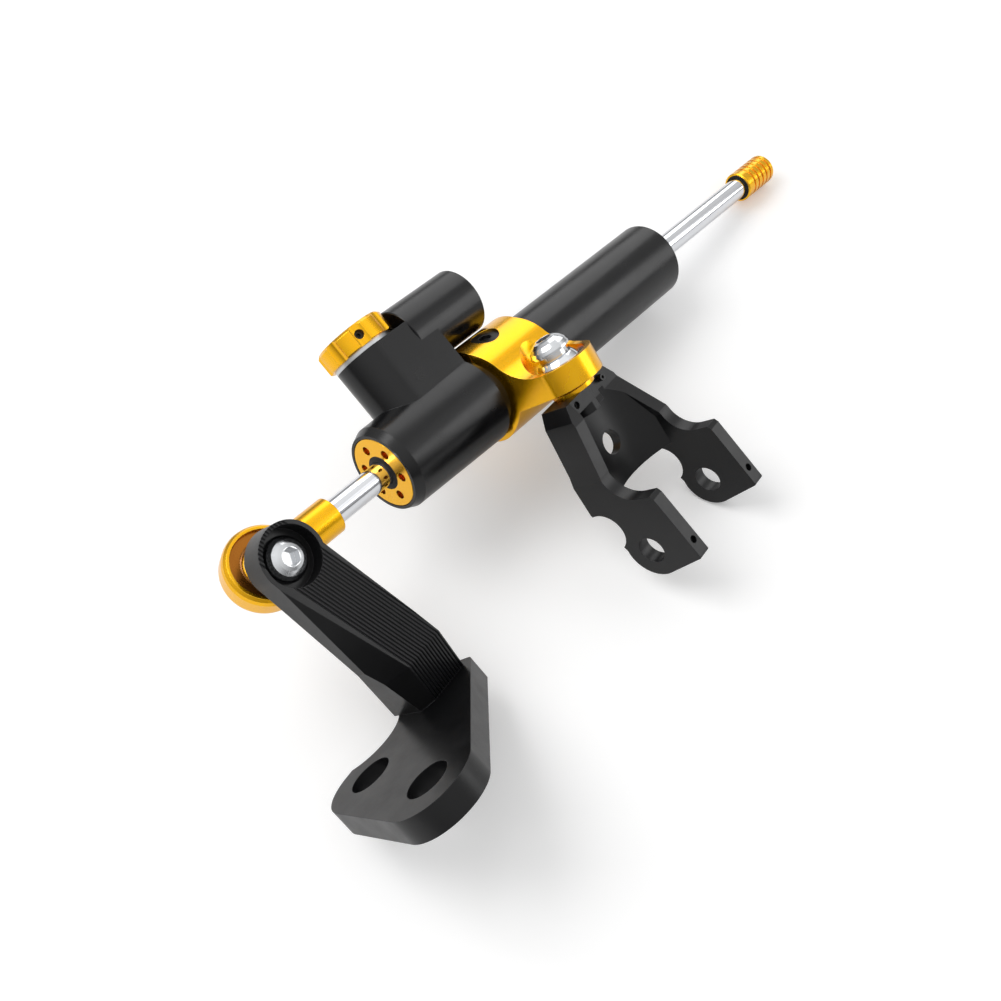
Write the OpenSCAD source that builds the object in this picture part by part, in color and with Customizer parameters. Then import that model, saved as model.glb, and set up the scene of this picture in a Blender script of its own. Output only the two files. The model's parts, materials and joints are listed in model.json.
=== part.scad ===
// Steering damper for a motorcycle: through-rod hydraulic cylinder with a
// side reservoir and a damping knob, a rod-end arm bracket at one end and a
// clamp with a forked bracket on the cylinder.  Millimetres.

/* [Cylinder] */
// outer diameter of the cylinder tube
tube_d = 27; // [26:0.5:28]
// bore of the cylinder tube
bore_d = 22; // [20:0.5:22.5]
// far end of the tube measured from the front gland face
tube_end = 142.4; // [135:0.1:150]
// diameter of the chromed rod
rod_d = 8; // [7:0.5:9]
// running clearance on each side of a moving fit
run_gap = 0.05; // [0.02:0.01:0.1]
// seating clearance on each side of a fixed fit
seat_gap = 0.03; // [0.01:0.01:0.05]

/* [Valve head] */
// length of the valve head along the rod
head_len = 42.2; // [40:0.1:43]
// radius of the head at its chamfered front face
head_front_r = 13; // [12.8:0.1:13.4]
// radius of the head behind the front chamfer
head_mid_r = 14.3; // [14:0.1:15]
// length of the chamfer at the front of the head
head_front_c = 3; // [2:0.1:4]
// radius of the head at its rear face
head_rear_r = 15.1; // [14.8:0.1:16]
// depth the tube spigot goes into the head
spigot_len = 16.2; // [12:0.1:18]
// radius of the tube spigot
spigot_r = 12.6; // [12.3:0.1:12.8]
// chamfer of the sharp turned edges
edge_c = 0.3; // [0.2:0.1:0.5]
// chamfer of the tube's far end
tube_c = 0.8; // [0.4:0.1:1]

/* [Glands] */
// radius of the gold front gland disc
gland_r = 12; // [11.6:0.1:12.2]
// thickness of the front gland
gland_len = 9; // [8:0.5:12]
// free space round the rod in the glands
rod_clear = 0.3; // [0.2:0.1:0.5]
// radius of the wiper seals
wiper_r = 5.8; // [5.4:0.1:6.2]
// height of the wiper lip outside the gland
wiper_lip = 0.3; // [0.2:0.1:0.5]
// depth of the wiper seals
wiper_len = 3; // [2:0.1:3.5]
// outer radius of the rod bushes
bush_r = 6; // [5.5:0.1:6.5]
// length of the rod bushes
bush_len = 4; // [3:0.5:5]
// pin holes in the gland face
gland_hole_count = 6; // [4:1:8]
// radius of one pin hole
gland_hole_r = 1.5; // [1:0.1:1.7]
// pitch radius of the pin holes
gland_pitch_r = 8.2; // [8:0.1:8.8]
// turn of the front gland about the rod
gland_turn = 9; // [0:1:59]
// depth of the pin holes
gland_hole_h = 4; // [3:0.5:4]
// place of the gland seals behind the gland face
seal_x = 5.2; // [5:0.1:6]
// width of the gland seals
gland_seal_w = 1.2; // [1:0.1:1.6]
// depth of the gland seal grooves
gland_seal_h = 1; // [0.8:0.1:1.3]
// radius of the rear gland
rear_gland_r = 11.6; // [11.4:0.1:11.9]
// length of the rear gland
rear_gland_len = 12.6; // [11:0.1:14]
// thickness of the rear snap ring
snap_w = 1; // [0.8:0.1:1.2]
// radial width of the rear snap ring
snap_h = 2; // [1.5:0.1:2.2]
// outer radius of the rear snap ring
snap_r = 12.2; // [12.1:0.05:12.4]

/* [Rod and piston] */
// end of the rod inside the rod-end sleeve
rod_front = -33; // [-36:0.5:-30]
// step of the rod where it enters the rod-end sleeve
rod_step = 1; // [0.8:0.1:1.2]
// end of the rod inside the end cap
rod_rear = 219; // [216:0.5:221]
// middle of the piston at rest
piston_x = 92; // [91:0.5:93]
// width of the piston
piston_w = 12; // [10:0.5:13]
// radial clearance of the bare piston in the bore
piston_gap = 0.1; // [0.1:0.05:0.3]
// width of the piston ring
ring_w = 3; // [2:0.1:4]
// depth of the piston ring groove
ring_h = 1.7; // [1.2:0.1:2.5]
// thickness of the piston circlips
clip_w = 1; // [0.8:0.1:1.2]
// width of the split in the circlips
clip_split = 2.4; // [1.5:0.1:3]
// depth of the circlip grooves in the rod
clip_h = 0.6; // [0.4:0.1:0.9]
// outer radius of the circlips
clip_r = 5.8; // [5.5:0.1:6.5]
// pitch radius of the bleed ports
bleed_pitch_r = 6.5; // [6.2:0.1:7]
// radius of the bleed ports through the piston
bleed_r = 0.8; // [0.5:0.1:1]

/* [End cap] */
// front end of the gold end cap
cap_x = 205.2; // [203:0.1:207]
// length of the end cap
cap_len = 18.6; // [18:0.2:22]
// radius of the end cap
cap_r = 5.7; // [5.6:0.1:6.4]
// chamfer of the cap's end
cap_c = 0.8; // [0.6:0.1:1]
// number of grooves round the cap
cap_grooves = 5; // [3:1:6]
// spacing of the grooves
cap_pitch = 2.9; // [2:0.1:3]
// width of one groove
cap_groove_w = 1; // [0.6:0.1:1.3]
// depth of one groove
cap_groove_h = 0.5; // [0.3:0.05:0.8]
// outer radius of the rubber bump stop
stop_r = 5; // [4.7:0.1:5.2]
// length of the bump stop
stop_len = 3.8; // [3:0.1:4]
// depth of the cap mouth that holds the bump stop
stop_in = 4; // [4:0.1:5]

/* [Adjuster knob] */
// place of the knob along the rod
knob_x = 21.4; // [21:0.1:22]
// lean of the knob from the vertical
knob_phi = 54.2; // [53:0.1:56]
// radius of the knob housing
knob_house_r = 10.5; // [10:0.1:10.8]
// distance of the housing top from the rod axis
knob_house_s = 31.7; // [31:0.1:33]
// thickness of the silver washer
knob_washer_w = 1.3; // [1:0.1:1.5]
// radius of the gold knob
knob_r = 12; // [11.5:0.1:12.4]
// height of the gold knob
knob_h = 7; // [6.5:0.1:7.5]
// chamfer of the knob's outer edge
knob_c = 0.9; // [0.6:0.1:1.2]
// outer radius of the groove in the knob's face
knob_ring_r = 8.5; // [8:0.1:9]
// width of the groove in the knob's face
knob_ring_w = 1.5; // [1:0.1:2]
// depth of the groove in the knob's face
knob_ring_h = 0.6; // [0.3:0.1:0.8]
// number of finger scallops
knob_scallops = 8; // [6:1:10]
// depth of the finger scallops
scallop_h = 0.9; // [0.5:0.1:1.2]
// radius of the scallop cutter
scallop_r = 3.6; // [3:0.1:4]
// turn of the knob at rest
knob_turn = 27; // [0:1:44]
// radius of the knob hub in the housing
hub_r = 5; // [4.5:0.1:5.5]
// depth of the knob hub in the housing
hub_h = 3; // [2:0.5:4]
// play below the knob hub
hub_play = 0.5; // [0.3:0.1:1]
// radius of the spindle stub in the knob
stub_r = 2.2; // [1.8:0.1:2.4]
// radius of the spindle shaft
spindle_r = 3; // [2.5:0.1:3.4]
// lowest point of the spindle from the rod axis
spindle_s = 11.4; // [11.2:0.1:13]
// radius of the oil way up the spindle
spindle_bore_r = 1.4; // [1:0.1:1.6]
// free height between the spindle's shoulder and the knob hub
spindle_free = 1.5; // [1.2:0.1:2]
// place of the spindle seal from the rod axis
spindle_seal_s = 23.5; // [23:0.1:25]
// width of the spindle seal
spindle_seal_w = 1.4; // [1:0.1:1.8]
// depth of the spindle seal groove
spindle_seal_h = 0.7; // [0.5:0.1:1]
// depth of the key flat on the spindle stub
stub_flat = 0.5; // [0.3:0.1:0.8]
// radius of the set screw in the knob
knob_screw_r = 1.5; // [1:0.1:1.7]
// length of the set screw in the knob
knob_screw_len = 7.5; // [6:0.1:8]
// finger scallop that holds the set screw
knob_screw_at = 5; // [0:1:7]

/* [Reservoir] */
// distance of the reservoir axis from the rod axis
res_off = 28.1; // [28:0.1:29]
// outer radius of the reservoir
res_r = 11.2; // [10.8:0.1:11.2]
// bore radius of the reservoir
res_bore_r = 9; // [8.6:0.1:9.2]
// front end of the reservoir
res_x0 = 34; // [33.6:0.2:36]
// far end of the reservoir
res_x1 = 62.8; // [60:0.1:64]
// thickness of the reservoir's closed end
res_floor = 2; // [1.6:0.1:2.6]
// thickness of the reservoir plug
plug_w = 3; // [2.5:0.1:4]
// step of the plug seat beyond the bore
plug_step = 0.6; // [0.4:0.1:0.8]
// depth of the plug's face in the end
plug_in = 0.4; // [0.2:0.1:0.8]
// width of the floating piston's seal
float_seal_w = 1.2; // [1:0.1:1.6]
// length of the floating piston
float_len = 5; // [4:0.5:6]
// place of the floating piston at rest
float_x = 43; // [42:0.5:45]
// half width of the web under the reservoir
web_w = 10.5; // [10.2:0.1:11]
// radius of the blend between the web and the head
web_blend_r = 20; // [12:1:24]
// radius of the oil port to the reservoir
port_r = 1.1; // [0.8:0.1:1.5]

/* [Rod end] */
// place of the ball centre along the rod
ball_x = -48.7; // [-50:0.1:-47]
// lean of the rod-end ring from the vertical
eye_phi = -24.6; // [-26:0.1:-23]
// outer radius of the ring
eye_r = 12.25; // [12:0.05:12.8]
// width of the ring
eye_w = 9.2; // [9:0.1:9.6]
// rounding of the ring's edges
eye_c = 1.2; // [0.9:0.1:1.4]
// radius of the race seat in the ring
race_r = 10.2; // [9.8:0.1:10.4]
// width of the race
race_w = 7; // [6.6:0.1:7.4]
// radius of the spherical ball
ball_r = 7.94; // [7.8:0.02:8.1]
// width of the ball over its flats
ball_w = 12; // [11.6:0.1:12.4]
// diameter of the bracket bolts
bolt_d = 8; // [7:0.5:8.5]
// radius of the rod-end sleeve
sleeve_r = 5.9; // [5.7:0.1:6.4]
// rod side end of the sleeve
sleeve_x = -22.5; // [-23:0.1:-22]

/* [Bolts] */
// radius of the button heads
head_r = 6.7; // [6.4:0.1:7]
// height of the button heads
head_h = 4.4; // [4:0.1:4.6]
// width across flats of the hexagon sockets
hex_af = 5; // [4:0.5:6]
// depth of the hexagon sockets
hex_h = 2.6; // [2:0.1:3]
// width across flats of the arm nut
nut_af = 13; // [12.5:0.1:13]
// thickness of the arm nut
nut_w = 5; // [4:0.1:6.5]
// thickness of the washer under the nut
nut_washer_w = 1.2; // [1:0.1:1.6]
// radius of the collars between the balls and the brackets
washer_r = 5.2; // [5:0.1:5.4]
// bolt end beyond the nut
bolt_end = 1; // [0.5:0.1:2]

/* [Arm bracket] */
// first turn of the arm frame
arm_rx = 43.68; // [43:0.1:44.5]
// second turn of the arm frame
arm_ry = -0.92; // [-1.5:0.1:0]
// third turn of the arm frame
arm_rz = 6.42; // [6:0.1:7]
// back face of the arm from the ball centre
arm_back = 9.15; // [9:0.05:9.6]
// thickness of the arm at the boss
arm_t = 9.1; // [8.6:0.1:9.6]
// radius of the arm boss
arm_boss_r = 10; // [9.6:0.1:10.3]
// radius of the bolt head recess
recess_r = 8.75; // [8.4:0.05:8.9]
// depth of the bolt head recess
recess_h = 5.6; // [5:0.1:6]
// distance of the ribbed bend from the bolt axis
arm_bend = 44.9; // [43:0.1:47]
// distance of the bend in the arm's back from the bolt axis
back_bend = 38; // [37:0.1:40]
// lower end of the sloping back at the lug plate
arm_foot = 6.3; // [5.5:0.1:7]
// right edge of the arm at the ribbed bend
arm_right1 = 18.9; // [18:0.1:20]
// right edge of the arm at the lug plate
arm_right2 = 21.4; // [20.5:0.1:22]
// left edge of the arm at its waist
arm_left1 = -5; // [-6:0.1:-4]
// left edge of the arm at the lug plate
arm_left2 = 2.6; // [2:0.1:3.5]
// lean of the chamfer on the left edge
bevel_lean = 40; // [35:1:45]
// distance of the lug plate from the bolt axis
plate_w0 = 59.4; // [58:0.1:61]
// thickness of the lug plate
plate_t = 8; // [7:0.1:9]
// slope of the second ribbed facet
facet_slope = 24; // [20:1:28]
// spacing of the ribs
rib_pitch = 1.06; // [0.9:0.02:1.3]
// number of ribs
rib_count = 14; // [10:1:15]
// depth of the grooves between the ribs
rib_h = 0.4; // [0.2:0.05:0.6]
// slant of the ribs across the arm
rib_slant = 15.2; // [12:0.2:18]
// slant of the ribs across the second facet
rib_slant2 = 9; // [7:0.5:11]
// sideways place of the middle of the ribs
rib_mid = -0.4; // [-1:0.1:0.5]
// diameter of the two lug holes
lug_hole_d = 13; // [11:0.5:14]
// sideways place of the first lug hole
lug1_b = -21.6; // [-23:0.1:-20]
// height of the first lug hole
lug1_a = 8.5; // [7.5:0.1:9.5]
// sideways place of the second lug hole
lug2_b = -25.6; // [-27:0.1:-24]
// height of the second lug hole
lug2_a = 42; // [40:0.1:44]
// radius of the plate round the lug holes
lug_r = 13.9; // [13:0.1:15]
// sideways place of the upper right corner of the plate
plate_b1 = 22.3; // [21:0.1:23]
// height of the upper right corner of the plate
plate_a1 = 11.3; // [10:0.1:12]
// sideways place of the lower right corner of the plate
plate_b2 = 20.3; // [19:0.1:21]
// height of the lower right corner of the plate
plate_a2 = -4; // [-4.5:0.1:-3.5]
// radius of the right corners of the plate
plate_corner_r = 2.2; // [1.6:0.1:2.6]
// sideways place of the bay in the plate's lower edge
bay_b = -7.5; // [-8:0.1:-7]
// height of the bay centre
bay_a = -13; // [-13.5:0.1:-12.5]
// radius of the bay
bay_r = 13.6; // [13:0.1:14]

/* [Clamp] */
// lean of the clamp from the vertical
clamp_phi = 40.1; // [39:0.1:41]
// gap between the valve head and the clamp
clamp_gap = 1.8; // [0.5:0.1:3]
// length of the clamp ring
clamp_w = 24; // [22:0.1:26]
// clearance between the clamp and the tube
clamp_fit = 0.02; // [0.01:0.01:0.05]
// outer radius of the clamp ring
clamp_r = 16.5; // [16.2:0.1:16.6]
// place of the boss behind the front face of the clamp
boss_back = 16.2; // [15.5:0.1:17]
// distance of the boss from the rod axis
boss_t = 24.3; // [24:0.1:24.6]
// radius of the boss
boss_r = 11.8; // [11.4:0.1:12.4]
// top of the boss below the rod axis
boss_top = 1; // [0.5:0.1:1.5]
// thickness of the boss
boss_h = 8.1; // [8:0.1:9]
// radius of the bearing seat in the boss
boss_seat_r = 9.8; // [9.4:0.1:10]
// width of the clamp bearing ball
cball_w = 10.6; // [10:0.1:11]
// thickness of the collar under the bolt head
collar_w = 2.4; // [2:0.1:3]
// radius of the collar under the bolt head
collar_r = 4.9; // [4.7:0.1:5.4]
// thickness of the gold spacer on the fork
spacer_w = 1.4; // [1:0.1:1.8]
// radius of the gold spacer
spacer_r = 7.4; // [7:0.1:7.6]
// width of the lip under the bearing
boss_lip = 1.2; // [0.8:0.1:1.6]
// radius of the hollow sweep between the ring and the boss
sweep_r = 14; // [13:0.5:15]
// radius of the corners where the ring narrows to the boss
waist_r = 4; // [3:0.5:5]
// place of these corners below the rod axis
waist_t = 8; // [7:0.5:9]
// place of the lock screw behind the front face of the clamp
lock_back = 11; // [9:0.5:13]
// lean of the lock screw from the clamp axis
lock_lean = 20; // [14:1:28]
// radius of the lock screw hole
lock_r = 4.8; // [4:0.1:5.2]
// height of the lock screw
lock_h = 2.2; // [1.6:0.1:2.6]
// width across flats of the socket in the lock screw
lock_hex_af = 4; // [3:0.5:5]
// depth of the socket in the lock screw
lock_hex_h = 1.4; // [1:0.1:1.6]

/* [Fork bracket] */
// first turn of the fork frame
fork_rx = -39.97; // [-41:0.1:-39]
// second turn of the fork frame
fork_ry = 0.73; // [0:0.1:1.5]
// third turn of the fork frame
fork_rz = 4.96; // [4:0.1:6]
// width over both ears
fork_w = 42.6; // [41:0.1:45]
// thickness of the ears
ear_t = 4.8; // [4:0.1:5.5]
// diameter of the ear holes
ear_hole_d = 9; // [8:0.5:10]
// radius of the ears round the holes
ear_r = 9.4; // [9:0.1:10.5]
// height of the bridge top above the ear holes
bridge_k = 50; // [49:0.1:51]
// thickness of the bridge at its front strip
bridge_h = 4.8; // [4:0.1:6]
// half width of the bridge top
bridge_w = 12.9; // [12:0.1:14]
// height of the shoulders above the ear holes
shoulder_k = 45.5; // [44.5:0.1:46.5]
// depth of the toe in front of the ear holes
toe_g = 15.6; // [14:0.1:16]
// height of the toe below the ear holes
toe_k = 5; // [4:0.1:6]
// radius of the toe
toe_r = 0.8; // [0.6:0.1:1]
// depth of the front corner of the ears
step_g = 12.1; // [11.5:0.1:13]
// chamfer of the front corner of the ears
step_c = 1.3; // [1:0.1:1.6]
// depth of the front notch centre
notch_g = 6.4; // [6:0.1:7]
// height of the front notch centre
notch_k = 27.6; // [27:0.1:28]
// radius of the front notch
notch_r = 9.3; // [9:0.1:9.8]
// height at which the wall rims reach their depth
rim_k = 44; // [42:0.5:46]
// depth of the rear edge of the walls
back_g = 15.2; // [14.8:0.1:15.6]
// lower end of the straight rear edge
back_k0 = 16; // [15.5:0.5:18]
// upper end of the straight rear edge
back_k1 = 30; // [28:0.5:33]
// depth of the rear edge of the bridge
back_top_g = 18.6; // [18.2:0.1:19.5]
// depth of the scallop in the rear edge of the ears
nip_g = 13.3; // [13:0.1:14]
// height of the scallop in the rear edge
nip_k = 8.6; // [8:0.1:9]
// radius of the scallop in the rear edge
nip_r = 6.8; // [6.4:0.1:7]
// depth of the hollow's back wall
hollow_g = 12; // [11.5:0.1:12.5]
// length of the clamp bolt in the bridge
bolt_in = 7.5; // [6.5:0.1:7.9]
// radius of the bolt boss in the hollow
bolt_boss_r = 6.5; // [6:0.1:7]
// height of the bolt boss above the ear holes
bolt_boss_k = 42; // [41:0.5:43]
// depth of the recess in front of the bridge strip
strip_g = 7.5; // [7:0.1:8]
// height of the floor of that recess
strip_k = 40; // [38:0.5:42]
// offset of the bolt axis behind the ear holes
bolt_g = 13.6; // [13.2:0.1:14]
// start of the wall slope above the ear holes
wall_bend = 26.5; // [25:0.5:28]
// inward run of the sloping walls
wall_run = 5.4; // [4:0.1:6]
// height of the web hole above the ear holes
web_hole_k = 29; // [27:0.5:31]
// diameter of the web hole
web_hole_d = 8; // [6:0.5:9]
// radius of the hollow between the walls
hollow_r = 24; // [22:0.5:30]
// lower edge of the web
web_k = 16; // [15:0.5:18]
// depth of the near wall rim at its top
rim_near_g = 5; // [3:0.5:7]
// depth of the far wall rim at its top
rim_far_g = 10.5; // [8:0.5:11]
// radius of the small set screws
grub_r = 1.2; // [0.8:0.1:1.3]
// length of the ear set screws
grub_ear_len = 6; // [4:0.5:7]
// length of the bridge set screws
grub_top_len = 4.5; // [3:0.5:4.5]
// depth of the ear set screws from the ear holes
grub_ear_g = 14; // [13:0.5:14]
// sideways place of the bridge set screws
grub_top_w = 8.5; // [8:0.1:9.5]
// depth of the bridge set screws
grub_top_g = 8.5; // [8:0.1:9]
// height of the bridge set screws below the bridge top
grub_top_k = 2.2; // [2:0.1:2.6]

/* [Rest on the table] */
// fall of the rod towards the end cap, which rests on the table
table_pitch = 10; // [8:0.1:12]
// turn about the rod that brings an ear down to the table
table_roll = -2.1; // [-4:0.1:0]

/* [Hidden] */
$fn = 96;
eps = 0.01;
// small overlap where round shapes run into straight ones
weld = 0.02;
// overlap of united shapes and overshoot of cutters
lap = 1;
clamp_x0 = head_len + clamp_gap;
clamp_x1 = clamp_x0 + clamp_w;
boss_x = clamp_x0 + boss_back;
lock_x = clamp_x0 + lock_back;
rod_r = rod_d / 2;
tube_r = tube_d / 2;
bore_r = bore_d / 2;
spigot_x = head_len - spigot_len;
rear_x = tube_end - tube_c - snap_w - rear_gland_len;
knob_s = knob_house_s + knob_washer_w;
stub_top = knob_s + knob_h - 2;
port_s = res_off - res_bore_r + port_r + lap;
plug_x = res_x1 - plug_in - plug_w;
bolt_r = bolt_d / 2;
race_in_r = ball_r + run_gap;
recess_a = arm_back + arm_t - recess_h;
plate_w1 = plate_w0 + plate_t;
boss_mid = -boss_top - boss_h / 2;
half_w = fork_w / 2;
grub_top_s = bridge_k - grub_top_k;
step_k = notch_k - notch_r;
hex_r = hex_af / 2 / cos(30);
lock_hex_r = lock_hex_af / 2 / cos(30);
grub_hex_r = grub_r / 2;
nut_r = nut_af / 2 / cos(30);

// vector turned by three axis angles
function turn_x(v, a) = [v[0], v[1] * cos(a) - v[2] * sin(a), v[1] * sin(a) + v[2] * cos(a)];
function turn_y(v, a) = [v[0] * cos(a) + v[2] * sin(a), v[1], v[2] * cos(a) - v[0] * sin(a)];
function turn_z(v, a) = [v[0] * cos(a) - v[1] * sin(a), v[0] * sin(a) + v[1] * cos(a), v[2]];
boss_c = turn_x([boss_x, -boss_t, boss_mid], -clamp_phi);
// drop from the clamp ball to the ear holes along the fork
fork_drop = bridge_k + spacer_w + cball_w / 2;
fork_at = boss_c
  + turn_z(turn_y(turn_x([0, -bolt_g, -fork_drop], fork_rx), fork_ry), fork_rz);

module in_row_frame() { rotate([table_roll, table_pitch, 0]) translate(-fork_at) children(); }
module along_x(x) { translate([x, 0, 0]) rotate([0, 90, 0]) children(); }
module at_knob() { translate([knob_x, 0, 0]) rotate([-knob_phi, 0, 0]) children(); }
module at_reservoir() { rotate([-knob_phi, 0, 0]) translate([0, 0, res_off]) children(); }
module at_eye() { translate([ball_x, 0, 0]) rotate([-eye_phi, 0, 0]) children(); }
module at_arm() { translate([ball_x, 0, 0]) rotate([arm_rx, arm_ry, arm_rz]) children(); }
module at_clamp() { rotate([-clamp_phi, 0, 0]) children(); }
module at_boss() { at_clamp() translate([boss_x, -boss_t, boss_mid]) children(); }
module at_clamp_bolt() { translate(boss_c) rotate([fork_rx, fork_ry, fork_rz]) children(); }
module at_fork() { translate(fork_at) rotate([fork_rx, fork_ry, fork_rz]) children(); }

// ring of rectangular section standing on z = 0
module ring(ro, ri, h) {
  difference() {
    cylinder(r = ro, h = h);
    translate([0, 0, -lap]) cylinder(r = ri, h = h + 2 * lap);
  }
}
// flat shape round two circles with straight flanks
module link(p, rp, q, rq) {
  d = q - p;
  len = norm(d);
  dir = atan2(d[1], d[0]);
  open = acos((rp - rq) / len);
  translate(p) circle(r = rp);
  translate(q) circle(r = rq);
  polygon([
    p + (rp - weld) * [cos(dir + open), sin(dir + open)],
    p + (rp - weld) * [cos(dir - open), sin(dir - open)],
    q + (rq - weld) * [cos(dir - open), sin(dir - open)],
    q + (rq - weld) * [cos(dir + open), sin(dir + open)]]);
}
// domed head with a hexagon socket, seat on z = 0
module button_head(r, h) {
  difference() {
    rotate_extrude() polygon([[0, 0], [r, 0], [r, 0.18 * h], [0.93 * r, 0.45 * h],
      [0.78 * r, 0.72 * h], [0.58 * r, 0.92 * h], [0.42 * r, h], [0, h]]);
    translate([0, 0, h - hex_h]) cylinder(r = hex_r, h = hex_h + 1, $fn = 6);
  }
}
// spherical ball between two flats with a bolt bore
module ball(w) {
  difference() {
    intersection() {
      sphere(r = ball_r);
      cylinder(r = ball_r + lap, h = w, center = true);
    }
    cylinder(r = bolt_r + run_gap, h = w + lap, center = true);
  }
}
// race round the ball
module race(ro) {
  difference() {
    cylinder(r = ro - seat_gap, h = race_w, center = true);
    sphere(r = race_in_r);
  }
}

module valve_head() {
  // centre of the blend between the web side and the head
  blend_y = web_w + web_blend_r;
  blend_z = sqrt(pow(head_mid_r + web_blend_r, 2) - blend_y * blend_y);
  in_row_frame() color("#15161a") difference() {
    union() {
      along_x(0) rotate_extrude() polygon([[0, 0], [head_front_r, 0],
        [head_mid_r, head_front_c], [head_rear_r, head_len - edge_c],
        [head_rear_r - edge_c, head_len], [0, head_len]]);
      at_knob() cylinder(r = knob_house_r, h = knob_house_s);
      // reservoir tube
      at_reservoir() along_x(res_x0) rotate_extrude() polygon([[0, 0],
        [res_r - edge_c, 0], [res_r, edge_c], [res_r, res_x1 - res_x0 - edge_c],
        [res_r - edge_c, res_x1 - res_x0],
        [0, res_x1 - res_x0]]);
      // web between the head, the knob housing and the reservoir
      rotate([-knob_phi, 0, 0]) translate([knob_x, -web_w, 0])
        cube([res_x0 - knob_x + lap, 2 * web_w, knob_house_s]);
      rotate([-knob_phi, 0, 0]) translate([knob_x, -web_w, 0])
        cube([head_len - edge_c - knob_x, 2 * web_w, res_off]);
      // blends at the foot of the web
      rotate([-knob_phi, 0, 0]) translate([knob_x, 0, 0]) rotate([90, 0, 90])
        linear_extrude(head_len - edge_c - knob_x) difference() {
          polygon([[-blend_y, blend_z], [0, 0], [blend_y, blend_z]]);
          translate([blend_y, blend_z]) circle(r = web_blend_r);
          translate([-blend_y, blend_z]) circle(r = web_blend_r);
        }
    }
    along_x(-eps) cylinder(r = gland_r, h = gland_len + eps);
    along_x(0) cylinder(r = bore_r, h = head_len + lap);
    along_x(spigot_x) cylinder(r = spigot_r + seat_gap, h = head_len);
    at_knob() cylinder(r = spindle_r + run_gap, h = knob_house_s + lap);
    at_knob() translate([0, 0, knob_house_s - hub_h - hub_play])
      cylinder(r = hub_r + run_gap, h = hub_h + hub_play + lap);
    at_reservoir() along_x(res_x0 + res_floor) cylinder(r = res_bore_r, h = res_x1);
    at_reservoir() along_x(plug_x) cylinder(r = res_bore_r + plug_step, h = res_x1);
    // oil port from the spindle bore to the reservoir
    at_knob() translate([0, 0, port_s]) rotate([0, 90, 0])
      cylinder(r = port_r, h = res_x0 - knob_x + res_floor + lap, $fn = 32);
  }
}
module damper_tube() in_row_frame() color("#17181b") difference() {
  union() {
    along_x(spigot_x) cylinder(r = spigot_r, h = spigot_len + lap);
    along_x(head_len) rotate_extrude() polygon([[0, 0], [tube_r, 0],
      [tube_r, tube_end - head_len - tube_c], [tube_r - tube_c, tube_end - head_len],
      [0, tube_end - head_len]]);
  }
  along_x(0) cylinder(r = bore_r, h = tube_end + lap);
  along_x(rear_x) cylinder(r = rear_gland_r, h = tube_end);
  along_x(rear_x + rear_gland_len) cylinder(r = snap_r + seat_gap, h = snap_w);
}
// gland body with bush and wiper recesses, outer face on z = 0
module gland(ro, h) {
  difference() {
    rotate_extrude() polygon([[0, 0], [ro - edge_c, 0], [ro, edge_c], [ro, h], [0, h]]);
    translate([0, 0, -lap]) cylinder(r = rod_r + rod_clear, h = h + 2 * lap);
    translate([0, 0, -lap]) cylinder(r = wiper_r, h = wiper_len + lap);
    translate([0, 0, h - bush_len]) cylinder(r = bush_r, h = bush_len + lap);
    translate([0, 0, seal_x]) ring(ro + lap, ro - gland_seal_h, gland_seal_w);
    for (i = [0:gland_hole_count - 1]) rotate([0, 0, i * 360 / gland_hole_count + gland_turn])
      translate([gland_pitch_r, 0, -lap]) cylinder(r = gland_hole_r, h = gland_hole_h + lap, $fn = 32);
  }
}
module wiper() {
  difference() {
    rotate_extrude() polygon([[0, -wiper_lip], [rod_r + 0.4 * (wiper_r - rod_r), -wiper_lip],
      [wiper_r - wiper_lip, 0], [wiper_r - seat_gap, 0], [wiper_r - seat_gap, wiper_len],
      [0, wiper_len]]);
    translate([0, 0, -lap]) cylinder(r = rod_r + run_gap, h = wiper_len + 2 * lap);
  }
}
module front_gland() in_row_frame() color("#d9a520") along_x(0) gland(gland_r - seat_gap, gland_len);
module front_gland_seal() in_row_frame() color("#101010") along_x(seal_x)
  ring(gland_r - seat_gap, gland_r - gland_seal_h, gland_seal_w);
module front_wiper() in_row_frame() color("#101010") along_x(0) wiper();
module front_bush() in_row_frame() color("#b0762e") along_x(gland_len - bush_len)
  ring(bush_r - seat_gap, rod_r + run_gap, bush_len);
module at_rear() { translate([rear_x + rear_gland_len, 0, 0]) rotate([0, -90, 0]) children(); }
module rear_gland() in_row_frame() color("#1a1b1e") at_rear()
  gland(rear_gland_r - seat_gap, rear_gland_len);
module rear_gland_seal() in_row_frame() color("#101010") at_rear() translate([0, 0, seal_x])
  ring(rear_gland_r - seat_gap, rear_gland_r - gland_seal_h, gland_seal_w);
module rear_wiper() in_row_frame() color("#101010") at_rear() wiper();
module rear_bush() in_row_frame() color("#b0762e") along_x(rear_x)
  ring(bush_r - seat_gap, rod_r + run_gap, bush_len);
module snap_ring() in_row_frame() color("#8c9096") along_x(rear_x + rear_gland_len) difference() {
  ring(snap_r, snap_r - snap_h, snap_w);
  translate([0, -snap_h / 2, -lap]) cube([2 * snap_r, snap_h, snap_w + 2 * lap]);
}
module piston_rod() in_row_frame() color("#c9ccd1") difference() {
  union() {
    along_x(sleeve_x) cylinder(r = rod_r, h = rod_rear - sleeve_x);
    along_x(rod_front) cylinder(r = rod_r - rod_step, h = sleeve_x - rod_front + lap);
  }
  along_x(piston_x - piston_w / 2 - clip_w) ring(rod_r + lap, rod_r - clip_h, clip_w);
  along_x(piston_x + piston_w / 2) ring(rod_r + lap, rod_r - clip_h, clip_w);
}
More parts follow.
